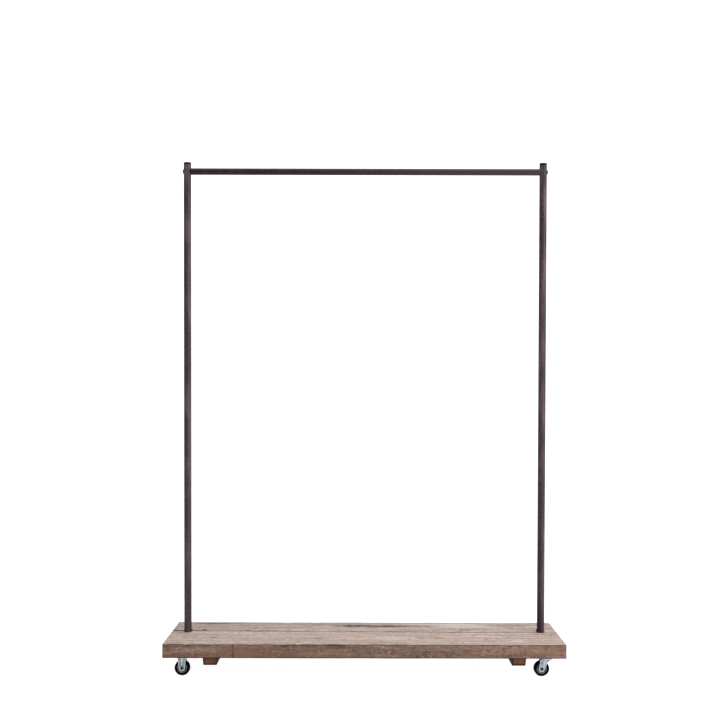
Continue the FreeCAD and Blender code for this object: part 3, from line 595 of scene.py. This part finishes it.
# Cracks in each plank: start, end, width, depth and the side they open to.
FRONT_CRACKS = [
    ((-0.62, -0.060, deck_top), (-0.47, -0.066, deck_top), 1.6 * MM, 5 * MM, UP),
    ((0.10, -0.015, deck_top), (0.34, -0.021, deck_top), 1.4 * MM, 4 * MM, UP),
    ((0.36, -0.105, deck_top), (0.52, -0.100, deck_top), 1.2 * MM, 4 * MM, UP),
    ((-0.20, -0.128, deck_top), (-0.08, -0.131, deck_top), 1.2 * MM, 3 * MM, UP),
    ((-0.44, deck_front, 0.099), (-0.24, deck_front, 0.097), 1.3 * MM, 4 * MM, FRONT),
    ((0.16, deck_front, 0.088), (0.30, deck_front, 0.091), 1.2 * MM, 4 * MM, FRONT),
    ((-0.65, -0.150, 0.098), (-0.65, -0.088, 0.103), 1.4 * MM, 6 * MM, LEFT),
    ((-0.65, -0.050, 0.084), (-0.65, 0.000, 0.091), 1.2 * MM, 5 * MM, LEFT),
    ((0.65, -0.140, 0.090), (0.65, -0.070, 0.097), 1.5 * MM, 7 * MM, RIGHT),
    ((0.65, -0.040, 0.102), (0.65, -0.010, 0.092), 1.0 * MM, 5 * MM, RIGHT),
]
BACK_CRACKS = [
    ((-0.60, 0.152, deck_top), (-0.44, 0.149, deck_top), 2.6 * MM, 7 * MM, UP),
    ((-0.16, 0.119, deck_top), (0.02, 0.115, deck_top), 3.0 * MM, 7 * MM, UP),
    ((0.00, 0.113, deck_top), (0.21, 0.115, deck_top), 2.2 * MM, 6 * MM, UP),
    ((-0.55, 0.060, deck_top), (-0.39, 0.064, deck_top), 1.4 * MM, 4 * MM, UP),
    ((0.30, 0.080, deck_top), (0.45, 0.077, deck_top), 1.3 * MM, 4 * MM, UP),
    ((0.46, 0.140, deck_top), (0.62, 0.144, deck_top), 1.4 * MM, 4 * MM, UP),
    ((-0.65, 0.070, 0.098), (-0.65, 0.140, 0.094), 1.5 * MM, 6 * MM, LEFT),
    ((0.65, 0.050, 0.092), (0.65, 0.120, 0.099), 1.4 * MM, 6 * MM, RIGHT),
    ((-0.30, 0.18, 0.096), (-0.06, 0.18, 0.099), 1.4 * MM, 4 * MM, BACK),
]
# Old nail holes in the deck's top: X, Y and radius.
NAIL_HOLES = [(0.620, -0.034, 2.6 * MM), (0.622, -0.113, 1.8 * MM), (0.544, -0.110, 2.0 * MM),
              (-0.543, 0.046, 3.2 * MM), (-0.370, -0.020, 1.6 * MM), (0.080, -0.060, 1.6 * MM),
              (-0.610, -0.130, 1.9 * MM), (0.330, 0.120, 1.8 * MM), (-0.262, 0.150, 1.7 * MM)]


def slant(shell, low, high, joint_at_front):
    """Pull a plank's inner edge onto the slanting joint between the planks."""
    gap = 1 * MM
    left, right = joint_ends()
    right -= gap
    for vert in shell.verts:
        share = (vert.co.x - low.x) / (high.x - low.x)
        edge = left + (right - left) * share
        if joint_at_front:
            edge += gap
            vert.co.y = high.y - (high.y - vert.co.y) * (high.y - edge) / (high.y - low.y)
        else:
            vert.co.y = low.y + (vert.co.y - low.y) * (edge - low.y) / (high.y - low.y)


def make_plank(node, slot, look, cracks, seed):
    """A worn plank with its cracks, nail holes and the uprights' holes."""
    low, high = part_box(node)
    shell = lattice_shell(low, high, (10 * MM, 6.5 * MM, 5 * MM))
    wear(shell, low, high, seed, 2.6 * MM, 1.6 * MM)
    slant(shell, low, high, node == "back_plank")
    piece = finish_mesh(shell, node + "_worn", wood_material(slot, look))
    cutters = []
    for _, side in SIDES:
        centre = (middle("left_upright").x * -side, upright_y)
        radius = upright_radius + 0.4 * MM
        cutters.append(cylinder_cutter(centre, radius, deck_under - CUTTER_PAST, deck_top + CUTTER_PAST))
    for x, y, radius in NAIL_HOLES:
        if (y < joint_ends()[0]) == (node == "front_plank"):
            cutters.append(cylinder_cutter((x, y), radius, deck_top - 9 * MM, deck_top + 3 * MM, 14))
    for i, crack in enumerate(cracks):
        cutters.append(crack_cutter(*crack, seed=seed[0] + i))
    carve(piece, cutters)
    stand_for(piece, node)


def make_batten(node):
    """A tapered bearer with sunk screw holes in its lower face."""
    low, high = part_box(node)
    centre = (low + high) / 2
    half = (high.x - low.x) / 2
    taper = 3.5 * MM
    shell = lattice_shell(low, high, (7 * MM, 9 * MM, 6 * MM))
    wear(shell, low, high, (low.x * 7, 3.1, 0.7), 4.5 * MM, 0.7 * MM)
    for vert in shell.verts:
        share = (high.z - vert.co.z) / (high.z - low.z)
        vert.co.x = centre.x + (vert.co.x - centre.x) * (1 - share * taper / half)
    piece = finish_mesh(shell, node + "_worn", wood_material(node + "_wood", BATTEN_LOOK, deck=False))
    screws_low, screws_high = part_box(node + "_screws")
    head = (screws_high.x - screws_low.x) / 2
    screws = 4
    first, last = screws_low.y + head, screws_high.y - head
    cutters = []
    for i in range(screws):
        y = first + (last - first) * i / (screws - 1)
        top = low.z + 8 * MM
        cutters.append(cylinder_cutter((centre.x, y), head * 1.25, low.z - CUTTER_PAST, top, 32))
    carve(piece, cutters)
    stand_for(piece, node)


# ---- Metal, plastic and rubber ----

def tube_material(name, dark, light, speckle, paler_right_end=None):
    """Dark brown-black lacquer on steel: faint streaks, fine speckle and pits.

    A paler right end is the colour the tube grows towards on the right. A tube without one gets a painted
    shadow just below its cap.
    """
    paint = Shader(name)
    rubs = paint.noise(paint.stretch((30, 30, 5)), 1.0, detail=5, roughness=0.6)
    mottle = paint.noise(paint.coords, 300, detail=4, roughness=0.6)
    pits = paint.noise(paint.coords, 900, detail=2)
    x, _, z = paint.axes(paint.coords)
    colour = paint.mix(paint.fade(rubs, 0.42, 0.70), dark, light)
    colour = paint.mix(paint.fade(mottle, 0.50, 0.68, 0.0, speckle), colour, (0.115, 0.085, 0.092))
    colour = paint.mix(paint.fade(mottle, 0.46, 0.32, 0.0, speckle), colour, (0.012, 0.006, 0.007))
    if paler_right_end is None:
        # Painted shadow: the last few millimetres below the cap are darkened.
        below_cap = paint.math("SUBTRACT", upright_box[1].z, z)
        colour = paint.mix(paint.fade(below_cap, 4 * MM, 1.5 * MM, 0.0, 0.85), colour, (0.004, 0.003, 0.003))
    else:
        # The rail grows paler towards its right end.
        colour = paint.mix(paint.fade(x, -0.45, 0.45, 0.0, 0.75), colour, paler_right_end)
    roughness = paint.fade(mottle, 0.3, 0.7, 0.36, 0.52)
    normal = paint.bump(pits, 0.05 * MM, 0.6, paint.bump(mottle, 0.10 * MM, 0.6))
    return paint.surface(colour, roughness, 0.0, normal, 0.18)


def zinc_material(name, rim=None):
    """Zinc-plated pressed steel: cloudy spangle, fine drawn lines, dirt and a painted highlight on rims.

    A rim is the middle Y of a caster and how far from it the legs' turned edges begin; these edges get a
    painted highlight.
    """
    paint = Shader(name)
    tint, dull = (0.31, 0.37, 0.42), (0.085, 0.105, 0.125)
    cloud = paint.noise(paint.coords, 110, detail=4, roughness=0.6)
    spangle = paint.cells(paint.coords, 420)
    lines = paint.noise(paint.stretch((260, 260, 1800)), 1.0, detail=3)
    grime_and_shadow = paint.noise(paint.coords, 45, detail=5, roughness=0.7)
    colour = paint.mix(paint.fade(cloud, 0.35, 0.65), dull, tint)
    colour = paint.mix(paint.fade(spangle, 0.1, 0.6, 0.0, 0.25), colour, (0.50, 0.56, 0.60))
    colour = paint.mix(paint.fade(grime_and_shadow, 0.58, 0.75, 0.0, 0.6), colour, (0.16, 0.14, 0.12))
    if rim is not None:
        _, y, _ = paint.axes(paint.coords)
        reach = paint.math("ABSOLUTE", paint.math("SUBTRACT", y, rim[0]))
        # Painted highlight along the legs' turned edges.
        rim_highlight = paint.fade(reach, rim[1], rim[1] + 0.6 * MM)
        colour = paint.mix(paint.math("MULTIPLY", rim_highlight, 0.8), colour, (0.56, 0.62, 0.64))
    roughness = paint.fade(grime_and_shadow, 0.35, 0.7, 0.26, 0.5)
    normal = paint.bump(lines, 0.03 * MM, 0.5, paint.bump(cloud, 0.10 * MM, 0.5))
    return paint.surface(colour, roughness, 0.85, normal)


def turned_material(name):
    """Turned bare steel: a fine grain and oily dirt."""
    paint = Shader(name)
    grain = paint.noise(paint.stretch((900, 900, 900)), 1.0, detail=2)
    dirt = paint.noise(paint.coords, 70, detail=4)
    colour = paint.mix(paint.fade(dirt, 0.45, 0.7), (0.48, 0.49, 0.50), (0.20, 0.19, 0.18))
    roughness = paint.fade(dirt, 0.3, 0.7, 0.28, 0.5)
    return paint.surface(colour, roughness, 0.9, paint.bump(grain, 0.02 * MM, 0.5))


def dark_steel_material(name, dark=(0.035, 0.030, 0.030), rubbed=(0.12, 0.105, 0.10)):
    """Blackened steel with edges rubbed a little paler."""
    paint = Shader(name)
    rub = paint.noise(paint.coords, 240, detail=4, roughness=0.65)
    colour = paint.mix(paint.fade(rub, 0.45, 0.7), dark, rubbed)
    return paint.surface(colour, paint.fade(rub, 0.3, 0.7, 0.35, 0.5), 0.5, paint.bump(rub, 0.08 * MM, 0.5))


def rubber_material(name):
    """Black solid tyre: dust in faint bands and a fine grain."""
    paint = Shader(name)
    dust = paint.noise(paint.coords, 60, detail=5, roughness=0.7)
    grain = paint.noise(paint.coords, 1400, detail=2)
    share = paint.fade(dust, 0.52, 0.78, 0.0, 0.5)
    colour = paint.mix(share, (0.0012, 0.0012, 0.0014), (0.012, 0.011, 0.010))
    roughness = paint.fade(dust, 0.3, 0.7, 0.65, 0.9)
    return paint.surface(colour, roughness, 0.0, paint.bump(grain, 0.06 * MM, 0.5), 0.05)


def plastic_material(name, base, worn, rough, specular=0.5):
    """Moulded plastic: faint flow clouding and a fine spark-eroded grain."""
    paint = Shader(name)
    cloud = paint.noise(paint.coords, 80, detail=4, roughness=0.6)
    grain = paint.noise(paint.coords, 1600, detail=2)
    colour = paint.mix(paint.fade(cloud, 0.4, 0.7), base, worn)
    roughness = paint.fade(cloud, 0.3, 0.7, rough, rough + 0.15)
    return paint.surface(colour, roughness, 0.0, paint.bump(grain, 0.04 * MM, 0.5), specular)


def lathe(name, profile, centre, axis, material, sides=96):
    """A turned shape: (radius, along) points swept round an axis through the centre."""
    shape = bmesh.new()
    turn = {"Y": Matrix.Rotation(math.radians(-90), 3, "X"), "Z": Matrix.Identity(3)}[axis]
    rings = []
    for radius, along in profile:
        count = sides if radius > 0 else 1
        angles = [math.tau * i / sides for i in range(count)]
        points = [Vector((radius * math.cos(a), radius * math.sin(a), along)) for a in angles]
        rings.append([shape.verts.new(Vector(centre) + turn @ p) for p in points])
    pairs = list(zip(rings, rings[1:]))
    if profile[0][0] > 0 and profile[-1][0] > 0:
        pairs.append((rings[-1], rings[0]))
    for near, far in pairs:
        for i in range(sides):
            j = i + 1
            corners = [near[i % len(near)], near[j % len(near)], far[j % len(far)], far[i % len(far)]]
            unique = [c for k, c in enumerate(corners) if c not in corners[:k]]
            if len(unique) > 2:
                shape.faces.new(unique)
    bmesh.ops.recalc_face_normals(shape, faces=shape.faces)
    return finish_mesh(shape, name, material, 35)


def arc(centre, radius, start, end, count=8):
    """Points on an arc, in degrees, for a lathe's profile."""
    angles = [math.radians(start + (end - start) * i / count) for i in range(count + 1)]
    return [(centre[0] + radius * math.cos(a), centre[1] + radius * math.sin(a)) for a in angles]


def make_cap(side):
    """Domed black cap on the upright's open end."""
    node = side + "_top_cap"
    low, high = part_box(node)
    centre = (low + high) / 2
    radius = (high.x - low.x) / 2
    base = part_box(side + "_upright")[1].z
    shoulder = 1.5 * MM
    plug = radius - 1.6 * MM
    profile = [(0, low.z), (plug, low.z), (plug, base), (radius, base)]
    profile += [(radius, high.z - shoulder - 0.6 * MM)]
    profile += [(r, z - 0.6 * MM) for r, z in arc((radius - shoulder, high.z - shoulder), shoulder, 0, 75)]
    profile += [(radius * 0.5, high.z - 0.12 * MM), (0, high.z)]
    piece = lathe(node + "_moulded", profile, (centre.x, centre.y, 0), "Z", CAP, 64)
    stand_for(piece, node)


def make_tyre(corner):
    """Solid tyre with rounded shoulders and two fine grooves by its edges."""
    node = corner + "_tyre"
    low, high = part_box(node)
    centre = (low + high) / 2
    outer, half = (high.z - low.z) / 2, (high.y - low.y) / 2
    seat = (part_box(corner + "_wheel_core")[1].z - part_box(corner + "_wheel_core")[0].z) / 2
    side = [(seat, half - 1.2 * MM), (seat + 0.7 * MM, half - 0.35 * MM)]
    side += [(seat + 1.6 * MM, half), (seat + 2.2 * MM, half), (seat + 2.6 * MM, half - 0.35 * MM)]
    side += [(seat + 3.0 * MM, half)]
    side += arc((outer - 3.6 * MM, half - 3.6 * MM), 3.6 * MM, 90, 12, 10)
    side += [(outer, half - 5.0 * MM), (outer, half - 6.4 * MM), (outer - 0.35 * MM, half - 6.7 * MM)]
    side += [(outer, half - 7.0 * MM)]
    profile = side + [(radius, -along) for radius, along in reversed(side)]
    piece = lathe(node + "_moulded", profile, centre, "Y", RUBBER)
    stand_for(piece, node)


def make_core(corner):
    """Grey wheel centre: hub, dished web and a stepped rim."""
    node = corner + "_wheel_core"
    low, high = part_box(node)
    centre = (low + high) / 2
    seat, half = (high.z - low.z) / 2, (high.y - low.y) / 2
    sleeve_low, sleeve_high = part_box(corner + "_axle_sleeve")
    bore, hub = (sleeve_high.z - sleeve_low.z) / 2 + 0.08 * MM, 7.0 * MM
    web, rim = half - 4.4 * MM, half - 2.1 * MM
    side = [(bore, half), (hub - 1.0 * MM, half)]
    side += arc((hub - 1.0 * MM, half - 1.0 * MM), 1.0 * MM, 80, 10, 4)
    side += [(hub + 0.2 * MM, web + 1.0 * MM), (hub + 1.2 * MM, web), (seat - 4.2 * MM, web)]
    side += [(seat - 3.2 * MM, web + 0.5 * MM), (seat - 2.6 * MM, rim - 0.5 * MM)]
    side += [(seat - 2.0 * MM, rim), (seat, rim)]
    profile = side + [(radius, -along) for radius, along in reversed(side)]
    piece = lathe(node + "_moulded", profile, centre, "Y", CORE)
    stand_for(piece, node)


def soften(node, material, width):
    """A copy of a CAD node with its edges rounded, as pressing and plating leave them."""
    shape = bmesh.new()
    shape.from_mesh(nodes[node].data)
    bmesh.ops.remove_doubles(shape, verts=shape.verts, dist=0.002 * MM)
    bmesh.ops.dissolve_limit(shape, angle_limit=math.radians(1.0), verts=shape.verts, edges=shape.edges)
    piece = finish_mesh(shape, node + "_pressed", material, 35)
    rounding = piece.modifiers.new("round", "BEVEL")
    rounding.width = width
    rounding.segments = 3
    rounding.limit_method = "ANGLE"
    rounding.angle_limit = math.radians(35)
    rounding.harden_normals = True
    apply_modifiers(piece)
    stand_for(piece, node)


def paint_node(node, material):
    """A CAD node that stays: only its material changes."""
    mesh = nodes[node].data
    mesh.materials.clear()
    mesh.materials.append(material)


make_camera()
make_stage()
make_lights()

TUBE = tube_material("tube_lacquer", (0.034, 0.020, 0.024), (0.104, 0.070, 0.079), 0.6)
RAIL = tube_material("rail_lacquer", (0.010, 0.004, 0.004), (0.020, 0.010, 0.010), 0.12,
                     paler_right_end=(0.046, 0.028, 0.031))
ZINC = zinc_material("zinc_plate")
# The axle rivets are near black: their own dark steel together with painted shade for the dark hole of each
# hollow rivet.
AXLE_BLACK_AND_SHADE = dark_steel_material("axle_steel", (0.005, 0.005, 0.006), (0.030, 0.030, 0.032))
SCREW = zinc_material("screw_zinc")
TURNED = turned_material("turned_steel")
BOLT = dark_steel_material("dark_bolt_steel")
PLATE = dark_steel_material("plate_steel")
RUBBER = rubber_material("tyre_rubber")
CORE = plastic_material("core_plastic", (0.075, 0.095, 0.12), (0.17, 0.205, 0.245), 0.42, 0.2)
CAP = plastic_material("cap_plastic", (0.0008, 0.0008, 0.0008), (0.002, 0.002, 0.002), 0.6, 0.02)

make_plank("front_plank", "front_plank_wood", FRONT_LOOK, FRONT_CRACKS, (1.3, 4.4, 2.6))
make_plank("back_plank", "back_plank_wood", BACK_LOOK, BACK_CRACKS, (7.7, 0.9, 5.2))
paint_node("top_rail", RAIL)
for side, _ in SIDES:
    make_batten(side + "_batten")
    make_cap(side)
    paint_node(side + "_upright", TUBE)
    paint_node(side + "_rail_bolt", BOLT)
    paint_node(side + "_foot_lock_screw", BOLT)
    paint_node(side + "_foot_plate", PLATE)
    for part in ("rail_insert", "foot_spigot"):
        paint_node(f"{side}_{part}", TURNED)
    for part in ("batten_screws", "foot_plate_screws"):
        paint_node(f"{side}_{part}", SCREW)
for corner, swivels in CORNERS:
    make_tyre(corner)
    make_core(corner)
    paint_node(corner + "_axle_rivet", AXLE_BLACK_AND_SHADE)
    paint_node(corner + "_axle_sleeve", TURNED)
    paint_node(corner + "_caster_screws", SCREW)
    legs = corner + ("_fork" if swivels else "_bracket")
    rivet_low, rivet_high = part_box(corner + "_axle_rivet")
    rim = (middle(legs).y, (rivet_high.y - rivet_low.y) / 2 - 0.9 * MM)
    # The legs' zinc gets a painted highlight along their turned edges.
    pressed = zinc_material(legs + "_zinc", rim=rim)
    soften(legs, pressed, 0.5 * MM)
    if swivels:
        soften(corner + "_top_plate", ZINC, 0.5 * MM)
        paint_node(corner + "_kingpin", TURNED)
        paint_node(corner + "_race_balls", TURNED)
